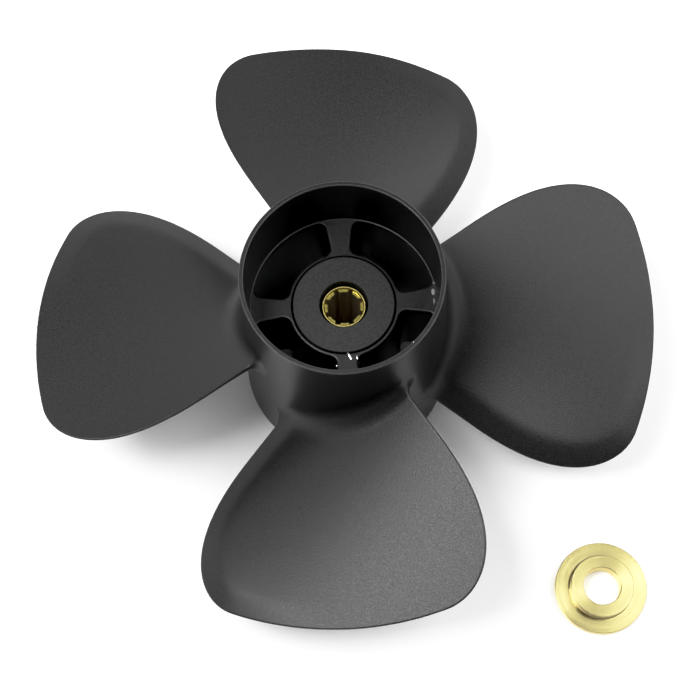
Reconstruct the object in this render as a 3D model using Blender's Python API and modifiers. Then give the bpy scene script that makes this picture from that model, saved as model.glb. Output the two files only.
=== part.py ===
"""Four-bladed outboard motor propeller, with its loose thrust washer.

The propeller is one aluminium die-casting: a tapered exhaust barrel, an inner hub carried on four webs, and
four raked helical blades.  A rubber bushing is pressed into the inner hub, and a splined brass sleeve is bonded
into the rubber.  A stepped brass thrust washer lies beside it.

The part stands on the front face of its barrel, as it would on a bench.  The origin is on the shaft's axis in
that face.  +Z points aft, out of the exhaust end.  Angles are counted from +X towards +Y, seen from aft.
"""

import math

import bmesh
import bpy
from mathutils import Matrix

MM = 0.001

# The whole propeller
TIP_RADIUS = 117.5 * MM
BARREL_LENGTH = 92.5 * MM
BLADES = 4

# The exhaust barrel, from its front face (on the floor) to its open rim
FRONT_RADIUS = 40.5 * MM
RIM_RADIUS = 37.3 * MM
RIM_BORE_RADIUS = 35.2 * MM
MOUTH_FLOOR_RADIUS = 34.9 * MM
PASSAGE_TOP_RADIUS = 34.0 * MM
PASSAGE_FRONT_RADIUS = 36.4 * MM
RIM_ROUNDING = 0.8 * MM

# The inner hub and the webs that carry it
WEB_PLANE = 64.1 * MM
WEB_FOOT = 30.0 * MM
WEB_HALF_ANGLE = math.radians(9.2)
WEB_TURN = math.radians(3.3)
WEB_CORNER = 2.0 * MM
HUB_TOP_RADIUS = 20.8 * MM
HUB_FRONT_RADIUS = 22.0 * MM
HUB_FRONT = 3.0 * MM
HUB_BORE_RADIUS = 19.1 * MM
HUB_CHAMFER = 0.7 * MM
WASHER_SEAT_RADIUS = 18.2 * MM
WASHER_SEAT_DEPTH = 6.5 * MM
BUSHING_STOP_RADIUS = 13.2 * MM
BUSHING_STOP_THICKNESS = 3.0 * MM

# The rubber bushing and the splined sleeve
FIT_GAP = 0.3 * MM
BUSHING_TOP = 64.6 * MM
BUSHING_MOUTH_RADIUS = 9.14 * MM
BUSHING_MOUTH_DEPTH = 6.5 * MM
BUSHING_ROUNDING = 0.5 * MM
SLEEVE_RADIUS = 8.04 * MM
SLEEVE_TOP = 61.9 * MM
SPLINE_MAJOR_RADIUS = 7.25 * MM
SPLINE_MINOR_RADIUS = 6.1 * MM
SPLINE_RECESS = 1.8 * MM
SLEEVE_INNER_CHAMFER = 0.4 * MM
SLEEVE_OUTER_CHAMFER = 0.1 * MM
TEETH = 8
TOOTH_ROOT_ANGLE = math.radians(31.0)
TOOTH_TIP_ANGLE = math.radians(25.0)
TOOTH_TURN = math.radians(2.5)

# The thrust washer, lying boss up
WASHER_CENTRE = (98.3 * MM, -94.3 * MM)
WASHER_RADIUS = 17.6 * MM
WASHER_BOSS_RADIUS = 12.1 * MM
WASHER_HOLE_RADIUS = 7.2 * MM
WASHER_FLANGE = 3.5 * MM
WASHER_HEIGHT = 7.0 * MM
WASHER_CHAMFER = 0.4 * MM

# The blades.  Edge angles are the first blade's; the aft face is a helicoid with a bent-down leading edge.
LEAD = 24.2 * MM                              # rise for each radian
FACE_HEIGHT = 48.0 * MM                       # aft face at 90 degrees
LEADING_ANGLE = math.radians(53.3)
LEADING_SWEEP = math.radians(16.2)
LEADING_CORNER_FROM = 62.0 * MM
TRAILING_ANGLE = math.radians(124.5)
TRAILING_FAN = math.radians(1.3)              # how much wider the trailing edge stands at the tip
TRAILING_SWEEP = math.radians(17.9)
TRAILING_CORNER_FROM = 58.0 * MM
BEND_DEPTH = 4.0 * MM
BEND_WIDTH = 9.0 * MM
BEND_TAIL = 28.0 * MM
BEND_TAIL_SHARE = 0.3
BEND_FULL_UNTIL = math.radians(52.7)
BEND_GONE_AT = math.radians(90.6)
TIP_SAG = 1.8 * MM
TIP_SAG_FROM = math.radians(79.0)
TIP_SAG_UNTIL = math.radians(125.0)
ROOT_THICKNESS = 8.0 * MM
TIP_THICKNESS = 3.0 * MM
EDGE_THICKNESS = 1.5 * MM
EDGE_TAPER = 10.0 * MM                        # width of the thinning towards the tip
ROOT_FILLET = 9.0 * MM
EDGE_FILLET = 2.5 * MM
ROOT_START = 37.0 * MM

# Fineness of the solids
BARREL_SEGMENTS = 96
HUB_SEGMENTS = 64
SLEEVE_SEGMENTS = 64
CHORD_STEPS = 14
CORNER_STEPS = 5


def between(a, b, share):
    return a + (b - a) * share


def ramp(x):
    """0 below 0, 1 above 1, and a smooth rise between."""
    x = min(max(x, 0.0), 1.0)
    return x * x * (3.0 - 2.0 * x)


def material(name, colour, roughness, metallic):
    made = bpy.data.materials.new(name)
    made.use_nodes = True
    shader = made.node_tree.nodes["Principled BSDF"]
    shader.inputs["Base Color"].default_value = (*colour, 1.0)
    shader.inputs["Roughness"].default_value = roughness
    shader.inputs["Metallic"].default_value = metallic
    made.diffuse_color = (*colour, 1.0)
    return made


def add_object(name, bm, collection):
    """A new object from a bmesh whose faces are turned outwards."""
    bmesh.ops.recalc_face_normals(bm, faces=bm.faces)
    mesh = bpy.data.meshes.new(name)
    bm.to_mesh(mesh)
    bm.free()
    made = bpy.data.objects.new(name, mesh)
    collection.objects.link(made)
    return made


def turned(name, profile, segments, collection):
    """A turned piece: a closed profile of (radius, height) points, spun about Z by a Screw modifier.

    The profile is listed down its outer side and back up its inner side.
    """
    bm = bmesh.new()
    points = [bm.verts.new((radius, 0.0, height)) for radius, height in profile]
    for first, second in zip(points, points[1:] + points[:1]):
        bm.edges.new((first, second))
    mesh = bpy.data.meshes.new(name)
    bm.to_mesh(mesh)
    bm.free()
    made = bpy.data.objects.new(name, mesh)
    collection.objects.link(made)
    screw = made.modifiers.new("Turned", "SCREW")
    screw.steps = segments
    screw.render_steps = segments
    screw.use_merge_vertices = True
    screw.merge_threshold = 0.00001
    return made


def prism(name, outline, bottom, top, collection):
    """A flat outline of (x, y) points raised from one height to another."""
    bm = bmesh.new()
    face = bm.faces.new([bm.verts.new((x, y, bottom)) for x, y in outline])
    raised = bmesh.ops.extrude_face_region(bm, geom=[face])
    lifted = [item for item in raised["geom"] if isinstance(item, bmesh.types.BMVert)]
    bmesh.ops.translate(bm, verts=lifted, vec=(0.0, 0.0, top - bottom))
    return add_object(name, bm, collection)


def join(target, pieces):
    for piece in pieces:
        union = target.modifiers.new("Joined " + piece.name, "BOOLEAN")
        union.operation = "UNION"
        union.solver = "EXACT"
        union.object = piece


def hide(piece):
    piece.hide_render = True
    piece.display_type = "WIRE"


def barrel_radius(height):
    """Outer radius of the tapered barrel."""
    return between(FRONT_RADIUS, RIM_RADIUS, height / BARREL_LENGTH)


def barrel_profile():
    top = BARREL_LENGTH
    rounding = RIM_ROUNDING
    return [
        (RIM_BORE_RADIUS + rounding, top),
        (RIM_RADIUS - rounding, top),
        (RIM_RADIUS, top - rounding),
        (barrel_radius(WEB_PLANE), WEB_PLANE),
        (barrel_radius(WEB_FOOT), WEB_FOOT),
        (FRONT_RADIUS, rounding),
        (FRONT_RADIUS - rounding, 0.0),
        (PASSAGE_FRONT_RADIUS, 0.0),
        (between(PASSAGE_FRONT_RADIUS, PASSAGE_TOP_RADIUS, WEB_FOOT / WEB_PLANE), WEB_FOOT),
        (PASSAGE_TOP_RADIUS, WEB_PLANE),
        (MOUTH_FLOOR_RADIUS, WEB_PLANE),
        (RIM_BORE_RADIUS, top - rounding),
    ]


def hub_profile():
    seat_top = HUB_FRONT + WASHER_SEAT_DEPTH
    stop_top = seat_top + BUSHING_STOP_THICKNESS
    return [
        (HUB_BORE_RADIUS + HUB_CHAMFER, WEB_PLANE),
        (HUB_TOP_RADIUS, WEB_PLANE),
        (HUB_FRONT_RADIUS, HUB_FRONT),
        (WASHER_SEAT_RADIUS, HUB_FRONT),
        (WASHER_SEAT_RADIUS, seat_top),
        (BUSHING_STOP_RADIUS, seat_top),
        (BUSHING_STOP_RADIUS, stop_top),
        (HUB_BORE_RADIUS, stop_top),
        (HUB_BORE_RADIUS, WEB_PLANE - 2.0 * HUB_CHAMFER),
    ]


def web_outline(turn):
    """One web seen from aft: radial sides that flare into the hub and into the barrel."""
    inner = HUB_TOP_RADIUS - 0.6 * MM
    outer = PASSAGE_FRONT_RADIUS + 0.6 * MM
    stations = [inner]
    for step in range(CORNER_STEPS + 1):
        stations.append(HUB_TOP_RADIUS + WEB_CORNER * (1.0 - math.cos(step / CORNER_STEPS * math.pi / 2)))
    for step in range(CORNER_STEPS + 1):
        stations.append(PASSAGE_TOP_RADIUS - WEB_CORNER * (1.0 - math.sin(step / CORNER_STEPS * math.pi / 2)))
    stations.append(outer)

    def half_width(radius):
        reach = max(0.0, WEB_CORNER - max(0.0, radius - HUB_TOP_RADIUS))
        reach = max(reach, WEB_CORNER - max(0.0, PASSAGE_TOP_RADIUS - radius))
        return radius * math.sin(WEB_HALF_ANGLE) + WEB_CORNER - math.sqrt(WEB_CORNER ** 2 - reach ** 2)

    sides = [(radius, half_width(radius)) for radius in stations]
    points = [(along, -across) for along, across in sides]
    points += [(along, across) for along, across in reversed(sides)]
    cosine, sine = math.cos(turn), math.sin(turn)
    return [(x * cosine - y * sine, x * sine + y * cosine) for x, y in points]


def corner(radius, start):
    """How far the outline has turned towards the tip: 0 at start and 1 at the tip, along a quarter ellipse."""
    share = min(max((radius - start) / (TIP_RADIUS - start), 0.0), 1.0)
    return 1.0 - math.sqrt(1.0 - share * share)


def leading_edge(radius):
    return LEADING_ANGLE + LEADING_SWEEP * corner(radius, LEADING_CORNER_FROM)


def trailing_edge(radius):
    fan = TRAILING_FAN * (radius - FRONT_RADIUS) / (TIP_RADIUS - FRONT_RADIUS)
    return TRAILING_ANGLE + fan - TRAILING_SWEEP * corner(radius, TRAILING_CORNER_FROM)


def aft_face(radius, angle):
    """Height of the blade's aft face: a helicoid, bent down along the leading edge and sagging at the tip."""
    inward = min(max(angle - leading_edge(radius), 0.0) * radius, TIP_RADIUS - radius)
    bend = (1.0 - BEND_TAIL_SHARE) * max(0.0, 1.0 - inward / BEND_WIDTH)
    bend += BEND_TAIL_SHARE * max(0.0, 1.0 - inward / BEND_TAIL) ** 2
    depth = BEND_DEPTH * (1.0 - ramp((angle - BEND_FULL_UNTIL) / (BEND_GONE_AT - BEND_FULL_UNTIL)))
    along = (angle - TIP_SAG_FROM) / (TIP_SAG_UNTIL - TIP_SAG_FROM)
    out = (radius - TRAILING_CORNER_FROM) / (TIP_RADIUS - TRAILING_CORNER_FROM)
    sag = TIP_SAG * math.sin(math.pi * min(max(along, 0.0), 1.0)) * min(max(out, 0.0), 1.0)
    return FACE_HEIGHT + LEAD * (angle - math.pi / 2) - depth * bend - sag


def blade_section(radius, tip_share):
    """Closed section at one radius, as rows of matching aft and forward points across the blade."""
    start, end = leading_edge(radius), trailing_edge(radius)
    slope = math.atan2(LEAD, radius)
    along = (radius - barrel_radius(FACE_HEIGHT)) / (TIP_RADIUS - barrel_radius(FACE_HEIGHT))
    most = between(ROOT_THICKNESS, TIP_THICKNESS, min(max(along, 0.0), 1.0))
    thinning = math.sqrt(min((TIP_RADIUS - radius) / EDGE_TAPER, 1.0))
    rows = []
    for step in range(CHORD_STEPS + 1):
        across = 0.5 - 0.5 * math.cos(math.pi * step / CHORD_STEPS)
        angle = between(start, end, across)
        height = aft_face(radius, angle)
        arch = math.sin(math.pi * across) ** 0.7 if 0.0 < across < 1.0 else 0.0
        thickness = between(EDGE_THICKNESS, most, arch * thinning)
        size = between(EDGE_FILLET, ROOT_FILLET, arch)
        away = max(radius - barrel_radius(height), 0.1 * size)
        reach = max(size - away, 0.0)
        flare = size - math.sqrt(size * size - reach * reach)
        spread = flare * (2.0 * across - 1.0) ** 5
        aft = flare - thickness * 0.25 * tip_share
        forward = -thickness - flare + thickness * 0.25 * tip_share
        row = []
        for offset in (aft, forward):
            turn = angle + (spread - offset * math.sin(slope)) / radius
            row.append((radius * math.cos(turn), radius * math.sin(turn), height + offset * math.cos(slope)))
        rows.append(row)
    return rows


def blade(name, collection):
    """One blade, lofted through its sections from inside the barrel's wall to the tip."""
    wall = barrel_radius(FACE_HEIGHT)
    radii = [ROOT_START, wall]
    radii += [wall + ROOT_FILLET * share for share in (0.16, 0.36, 0.62, 1.0)]
    turn_from = 60.0 * MM
    radii.append(turn_from)
    radii += [turn_from + (TIP_RADIUS - turn_from) * math.sin(step / 8 * math.pi / 2) for step in range(1, 8)]
    radii += [TIP_RADIUS - 0.35 * MM, TIP_RADIUS]
    bm = bmesh.new()
    sections = []
    for radius in radii:
        rows = blade_section(radius, 1.0 if radius == TIP_RADIUS else 0.0)
        sections.append([[bm.verts.new(point) for point in row] for row in rows])
    for inner, outer in zip(sections, sections[1:]):
        for step in range(CHORD_STEPS):
            bm.faces.new((inner[step][0], inner[step + 1][0], outer[step + 1][0], outer[step][0]))
            bm.faces.new((inner[step][1], outer[step][1], outer[step + 1][1], inner[step + 1][1]))
        for edge in (0, CHORD_STEPS):
            bm.faces.new((inner[edge][0], outer[edge][0], outer[edge][1], inner[edge][1]))
    for section in (sections[0], sections[-1]):
        for step in range(CHORD_STEPS):
            bm.faces.new((section[step][0], section[step][1], section[step + 1][1], section[step + 1][0]))
    bmesh.ops.triangulate(bm, faces=bm.faces)
    return add_object(name, bm, collection)


def bushing_profile():
    stop_top = HUB_FRONT + WASHER_SEAT_DEPTH + BUSHING_STOP_THICKNESS + FIT_GAP
    outer = HUB_BORE_RADIUS - FIT_GAP
    mouth_floor = BUSHING_TOP - BUSHING_MOUTH_DEPTH
    rounding = BUSHING_ROUNDING
    return [
        (BUSHING_MOUTH_RADIUS, BUSHING_TOP),
        (outer - rounding, BUSHING_TOP),
        (outer, BUSHING_TOP - rounding),
        (outer, stop_top),
        (SLEEVE_RADIUS + FIT_GAP, stop_top),
        (SLEEVE_RADIUS + FIT_GAP, mouth_floor),
        (BUSHING_MOUTH_RADIUS, mouth_floor),
    ]


def sleeve_profile():
    front = HUB_FRONT + WASHER_SEAT_DEPTH
    return [
        (SPLINE_MAJOR_RADIUS + SLEEVE_INNER_CHAMFER, SLEEVE_TOP),
        (SLEEVE_RADIUS - SLEEVE_OUTER_CHAMFER, SLEEVE_TOP),
        (SLEEVE_RADIUS, SLEEVE_TOP - SLEEVE_OUTER_CHAMFER),
        (SLEEVE_RADIUS, front),
        (SPLINE_MAJOR_RADIUS, front),
        (SPLINE_MAJOR_RADIUS, SLEEVE_TOP - SLEEVE_INNER_CHAMFER),
    ]


def tooth_outline(turn):
    """One spline tooth seen from aft, rooted in the sleeve's wall."""
    root = 0.5 * (SPLINE_MAJOR_RADIUS + SLEEVE_RADIUS)
    points = []
    for step in (-1.0, 1.0):
        angle = turn + step * 0.5 * TOOTH_ROOT_ANGLE
        points.append((root * math.cos(angle), root * math.sin(angle)))
    for step in (1.0, 0.5, 0.0, -0.5, -1.0):
        angle = turn + step * 0.5 * TOOTH_TIP_ANGLE
        points.append((SPLINE_MINOR_RADIUS * math.cos(angle), SPLINE_MINOR_RADIUS * math.sin(angle)))
    return points


def washer_profile():
    chamfer = WASHER_CHAMFER
    return [
        (WASHER_HOLE_RADIUS + chamfer, WASHER_HEIGHT),
        (WASHER_BOSS_RADIUS - chamfer, WASHER_HEIGHT),
        (WASHER_BOSS_RADIUS, WASHER_HEIGHT - chamfer),
        (WASHER_BOSS_RADIUS, WASHER_FLANGE),
        (WASHER_RADIUS - chamfer, WASHER_FLANGE),
        (WASHER_RADIUS, WASHER_FLANGE - chamfer),
        (WASHER_RADIUS, chamfer),
        (WASHER_RADIUS - chamfer, 0.0),
        (WASHER_HOLE_RADIUS, 0.0),
        (WASHER_HOLE_RADIUS, WASHER_HEIGHT - chamfer),
    ]


def smooth(piece, angle=math.radians(35)):
    piece.data.shade_smooth()
    if piece.data.edges:
        piece.data.set_sharp_from_angle(angle=angle)


def build():
    for old in list(bpy.data.objects):
        bpy.data.objects.remove(old)
    parts = bpy.data.collections.new("outboard_propeller")
    helpers = bpy.data.collections.new("joined_shapes")
    bpy.context.scene.collection.children.link(parts)
    bpy.context.scene.collection.children.link(helpers)

    paint = material("satin black paint", (0.035, 0.035, 0.037), 0.42, 0.0)
    rubber = material("black rubber", (0.035, 0.035, 0.036), 0.7, 0.0)
    sleeve_brass = material("spline brass", (0.72, 0.55, 0.16), 0.3, 1.0)
    washer_brass = material("turned brass", (0.86, 0.76, 0.42), 0.32, 1.0)

    casting = turned("propeller_casting", barrel_profile(), BARREL_SEGMENTS, parts)
    hub = turned("inner_hub_shape", hub_profile(), HUB_SEGMENTS, helpers)
    webs = []
    for index in range(BLADES):
        outline = web_outline(WEB_TURN + index * math.tau / BLADES)
        webs.append(prism("web_shape_%d" % index, outline, WEB_FOOT, WEB_PLANE - 0.02 * MM, helpers))
    blades = [blade("blade_shape_0", helpers)]
    for index in range(1, BLADES):
        copy = bpy.data.objects.new("blade_shape_%d" % index, blades[0].data)
        copy.matrix_world = Matrix.Rotation(index * math.tau / BLADES, 4, "Z")
        helpers.objects.link(copy)
        blades.append(copy)
    for shape in [hub, *webs, *blades]:
        hide(shape)
    join(casting, [hub, *webs, *blades])

    bushing = turned("rubber_bushing", bushing_profile(), HUB_SEGMENTS, parts)

    sleeve = turned("splined_sleeve", sleeve_profile(), SLEEVE_SEGMENTS, parts)
    teeth = []
    front = HUB_FRONT + WASHER_SEAT_DEPTH
    for index in range(TEETH):
        outline = tooth_outline(TOOTH_TURN + index * math.tau / TEETH)
        teeth.append(prism("tooth_shape_%d" % index, outline, front + SPLINE_RECESS,
                           SLEEVE_TOP - SPLINE_RECESS, helpers))
    for shape in teeth:
        hide(shape)
    join(sleeve, teeth)

    washer = turned("thrust_washer", washer_profile(), HUB_SEGMENTS, parts)
    washer.location = (*WASHER_CENTRE, 0.0)

    for piece, finish in ((casting, paint), (bushing, rubber), (sleeve, sleeve_brass), (washer, washer_brass)):
        piece.data.materials.append(finish)
        smooth(piece)


build()
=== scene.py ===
"""Looks of a four-bladed outboard motor propeller and its loose thrust washer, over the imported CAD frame.

Everything is in metres, in the CAD's frame.  The origin is on the shaft's axis in the barrel's front face,
which stands on the floor, and +Z points aft.  Angles are counted from +X towards +Y, seen from aft.
"""

import math

import bmesh
import bpy
import numpy as np
from mathutils import Matrix, Vector
from mathutils.geometry import delaunay_2d_cdt


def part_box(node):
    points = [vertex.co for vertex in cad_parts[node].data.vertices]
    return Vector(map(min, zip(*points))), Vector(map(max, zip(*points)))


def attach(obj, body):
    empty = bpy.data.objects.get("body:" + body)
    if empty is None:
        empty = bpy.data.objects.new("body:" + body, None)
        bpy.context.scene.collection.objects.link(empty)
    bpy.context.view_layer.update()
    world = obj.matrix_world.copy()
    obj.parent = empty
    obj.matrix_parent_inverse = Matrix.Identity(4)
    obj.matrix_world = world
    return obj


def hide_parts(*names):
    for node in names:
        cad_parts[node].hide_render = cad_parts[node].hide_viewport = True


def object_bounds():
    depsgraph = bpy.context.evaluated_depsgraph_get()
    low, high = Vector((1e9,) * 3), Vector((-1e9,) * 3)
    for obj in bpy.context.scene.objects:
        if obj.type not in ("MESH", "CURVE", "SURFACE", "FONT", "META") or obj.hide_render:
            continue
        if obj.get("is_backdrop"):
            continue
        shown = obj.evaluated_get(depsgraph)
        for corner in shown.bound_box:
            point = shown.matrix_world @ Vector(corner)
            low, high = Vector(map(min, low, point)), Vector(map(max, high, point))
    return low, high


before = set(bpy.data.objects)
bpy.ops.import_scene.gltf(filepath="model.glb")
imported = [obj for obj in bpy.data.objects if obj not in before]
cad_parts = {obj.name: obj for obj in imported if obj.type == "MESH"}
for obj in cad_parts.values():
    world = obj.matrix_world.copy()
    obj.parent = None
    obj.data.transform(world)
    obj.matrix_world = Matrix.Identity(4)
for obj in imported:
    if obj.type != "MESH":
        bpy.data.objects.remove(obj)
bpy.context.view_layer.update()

# The blade's faces.
# Each blade is a thin right-hand helicoid of even pitch, cast in aluminium in one with the barrel.  Its
# leading edge is bent down in a bevel, its tip is rounded into both edges, and it thickens towards the root.
MM = 0.001
_, casting_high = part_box("propeller_casting")
TIP_RADIUS = casting_high.x
BARREL_LENGTH = casting_high.z
FRONT_RADIUS = 40.5 * MM               # the barrel's outer radius at its front end
RIM_RADIUS = 36.9 * MM
BLADES = 4
LEAD = 24.2 * MM                       # rise for each radian of turn
FACE_HEIGHT = 48.0 * MM                # of the aft face at 90 degrees
LEADING_ANGLE = math.radians(53.2)
LEADING_SWEEP = math.radians(16.2)     # how far the edge's corner swings round to the tip
LEADING_CORNER_FROM = 62.0 * MM
TRAILING_ANGLE = math.radians(124.05)
TRAILING_FAN = math.radians(1.85)      # how much wider the trailing edge stands at the tip
TRAILING_SWEEP = math.radians(17.9)
TRAILING_CORNER_FROM = 58.0 * MM
CORNER_MIDDLE = math.radians(59.0)     # where an edge's curve has turned half way to the tip
BEVEL_WIDTH = 7.8 * MM
BEVEL_SOFTNESS = 0.16                  # share of that width over which the bevel runs out
BEND_DEPTH = 4.0 * MM
BEND_TAIL = 28.0 * MM                  # how far in the slow part of the bend reaches
BEND_TAIL_SHARE = 0.3
BEND_FULL_UNTIL = math.radians(52.7)
BEND_GONE_AT = math.radians(90.6)
TIP_SAG = 1.8 * MM
TIP_SAG_FROM = math.radians(73.0)
TIP_SAG_UNTIL = math.radians(131.0)
ROOT_THICKNESS = 8.0 * MM
TIP_THICKNESS = 3.0 * MM
EDGE_THICKNESS = 1.5 * MM
ARCH_POWER = 0.7                       # a lower power gives a fuller section
AFT_NOSE = 0.45 * MM                   # rounding of the outline towards the aft face
FORWARD_NOSE = 1.0 * MM
EDGE_TAPER = 10.0 * MM                 # how far in from the tip the blade thins out
INSIDE_WALL = 34.0 * MM                # the outline is followed down to here
ROOT_FILLET = 9.0 * MM
EDGE_FILLET = 5.5 * MM                 # the root's fillet where it passes round the edges
FILLET_ROWS = 16
FLARE_ROUNDS = 4                       # trials in which a fillet's row settles
CHORD = 80.0 * MM                      # typical width, by which the grid's rows are shared out
SPAN = 70.0 * MM
GRID_STEP = 1.35 * MM
EDGE_ROWS = [0.0, 0.05, 0.18, 0.38, 0.65, 1.1, 1.75, 2.6]     # millimetres in from the outline
EDGE_STEPS = 90
TIP_STEPS = 60
BATCH = 2000                           # points measured at a time
TINY = 1e-18                           # keeps a piece without length from dividing by nought


def between(a, b, share):
    """The value that lies a share of the way from a to b."""
    return a + (b - a) * share


def ramp(x):
    """0 below 0, 1 above 1, and a smooth rise between."""
    x = np.clip(x, 0.0, 1.0)
    return x * x * (3.0 - 2.0 * x)


def barrel_radius(height):
    """Outer radius of the tapered barrel."""
    return between(FRONT_RADIUS, RIM_RADIUS, height / BARREL_LENGTH)


def corner(radius, start):
    """How far an edge has turned towards the tip, along a quarter ellipse."""
    share = np.clip((radius - start) / (TIP_RADIUS - start), 0.0, 1.0)
    return 1.0 - np.sqrt(1.0 - share * share)


def leading_angle(radius):
    """Where the leading edge stands at a radius."""
    return LEADING_ANGLE + LEADING_SWEEP * corner(radius, LEADING_CORNER_FROM)


def trailing_angle(radius):
    """Where the trailing edge stands at a radius."""
    fan = TRAILING_FAN * (radius - FRONT_RADIUS) / (TIP_RADIUS - FRONT_RADIUS)
    return TRAILING_ANGLE + fan - TRAILING_SWEEP * corner(radius, TRAILING_CORNER_FROM)


def polar(radius, angle):
    """Flat points from radius and angle."""
    return np.stack([radius * np.cos(angle), radius * np.sin(angle)], axis=-1)


def edge_line(angle_at, corner_from, start, turn_from, turn_until):
    """Plan of one edge: out from start, then round its corner between two stages of the turn to the tip."""
    turn = np.linspace(turn_from, turn_until, EDGE_STEPS)
    radius = corner_from + (TIP_RADIUS - corner_from) * np.sin(turn)
    if turn_from == 0.0:
        radius = np.concatenate([np.linspace(start, corner_from, EDGE_STEPS)[:-1], radius])
    return polar(radius, angle_at(radius))


def resampled(line, shares):
    """Points on a line at the given shares of its length."""
    steps = np.linalg.norm(np.diff(line, axis=0), axis=1)
    length = np.concatenate([[0.0], np.cumsum(steps)])
    return np.stack([np.interp(shares * length[-1], length, line[:, axis]) for axis in range(2)], axis=-1)


def distance_to_line(points, line):
    """Shortest distance from each point to a line of short straight pieces."""
    first, second = line[:-1], line[1:]
    step = second - first
    size = np.maximum((step * step).sum(axis=1), TINY)
    nearest = np.full(len(points), np.inf)
    for start in range(0, len(points), BATCH):
        part = points[start:start + BATCH, None, :] - first[None]
        along = np.clip((part * step[None]).sum(axis=2) / size, 0.0, 1.0)
        gap = part - along[..., None] * step[None]
        nearest[start:start + BATCH] = np.sqrt((gap * gap).sum(axis=2)).min(axis=1)
    return nearest


blade_outline = np.concatenate([
    edge_line(leading_angle, LEADING_CORNER_FROM, INSIDE_WALL, 0.0, math.pi / 2),
    polar(TIP_RADIUS, np.linspace(leading_angle(TIP_RADIUS), trailing_angle(TIP_RADIUS), TIP_STEPS)),
    edge_line(trailing_angle, TRAILING_CORNER_FROM, INSIDE_WALL, 0.0, math.pi / 2)[::-1],
])


def blade_point(radius, angle, side):
    """Where a point of the plan lies on the aft face (side 1) or on the forward face (side -1).

    It gives the point's angle and height, and the arch of the section there, from 0 at its ends to 1.
    """
    plan = polar(radius, angle)
    inward = distance_to_line(plan.reshape(-1, 2), blade_outline).reshape(radius.shape)
    depth = BEND_DEPTH * (1.0 - ramp((angle - BEND_FULL_UNTIL) / (BEND_GONE_AT - BEND_FULL_UNTIL)))
    left = 1.0 - inward / BEVEL_WIDTH
    bevel = 0.5 * (left + np.sqrt(left * left + BEVEL_SOFTNESS ** 2))
    tail = np.clip(1.0 - inward / BEND_TAIL, 0.0, 1.0) ** 2
    bend = between(bevel, tail, BEND_TAIL_SHARE) if side > 0 else tail
    along = np.clip((angle - TIP_SAG_FROM) / (TIP_SAG_UNTIL - TIP_SAG_FROM), 0.0, 1.0)
    out = np.clip((radius - TRAILING_CORNER_FROM) / (TIP_RADIUS - TRAILING_CORNER_FROM), 0.0, 1.0)
    sag = TIP_SAG * np.sin(math.pi * along) ** 2 * out ** 2
    height = FACE_HEIGHT + LEAD * (angle - math.pi / 2) - depth * bend - sag

    first, last = leading_angle(radius), trailing_angle(radius)
    across = np.clip((angle - first) / (last - first), 0.0, 1.0)
    arch = np.sin(math.pi * across) ** ARCH_POWER
    root = barrel_radius(FACE_HEIGHT)
    most = between(ROOT_THICKNESS, TIP_THICKNESS, np.clip((radius - root) / (TIP_RADIUS - root), 0.0, 1.0))
    thinning = np.sqrt(np.clip((TIP_RADIUS - radius) / EDGE_TAPER, 0.0, 1.0))
    thickness = between(EDGE_THICKNESS, most, arch * thinning)
    nose = AFT_NOSE if side > 0 else FORWARD_NOSE
    full = np.sqrt(1.0 - (1.0 - np.clip(inward / nose, 0.0, 1.0)) ** 2)
    offset = -AFT_NOSE * (1.0 - full) if side > 0 else -AFT_NOSE - (thickness - AFT_NOSE) * full
    slope = np.arctan2(LEAD, radius)
    turned = angle - offset * np.sin(slope) / radius
    return turned, height + offset * np.cos(slope), arch


def shares_along(length, both_ends):
    """Shares from 0 to 1, close together at the edge and evenly spread over the rest."""
    rows = [row * MM / length for row in EDGE_ROWS]
    edges = 2 if both_ends else 1
    steps = round(length * (1.0 - edges * rows[-1]) / GRID_STEP)
    at_far_edge = [1.0 - row for row in reversed(rows)]
    if both_ends:
        middle = np.linspace(rows[-1], 1.0 - rows[-1], steps + 1)[1:-1]
        return np.array(rows + list(middle) + at_far_edge)
    middle = np.linspace(0.0, 1.0 - rows[-1], steps + 1)[:-1]
    return np.array(list(middle) + at_far_edge)


class Shell:
    """Points and faces gathered for one mesh, in pieces that share their border points."""

    def __init__(self):
        self.points = []
        self.faces = []

    def grid(self, rows, closed=False):
        """Faces between rows of points.  They face the way of (down the rows) x (along a row)."""
        start = len(self.points)
        count = len(rows[0])
        for row in rows:
            self.points.extend(map(tuple, row))
        for row in range(len(rows) - 1):
            for column in range(count if closed else count - 1):
                beside = (column + 1) % count
                a, b = start + row * count, start + (row + 1) * count
                self.faces.append((a + column, b + column, b + beside, a + beside))

    def triangles(self, flat, triangles, place):
        """Triangles of a flat drawing, with each drawn point put in its place."""
        start = len(self.points)
        self.points.extend(place(x, y) for x, y in flat)
        self.faces.extend(tuple(start + index for index in triangle) for triangle in triangles)

    def mesh(self, name):
        """The mesh of what has been gathered."""
        made = bpy.data.meshes.new(name)
        made.from_pydata(self.points, [], self.faces)
        made.update()
        return made


quarter = Shell()

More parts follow.
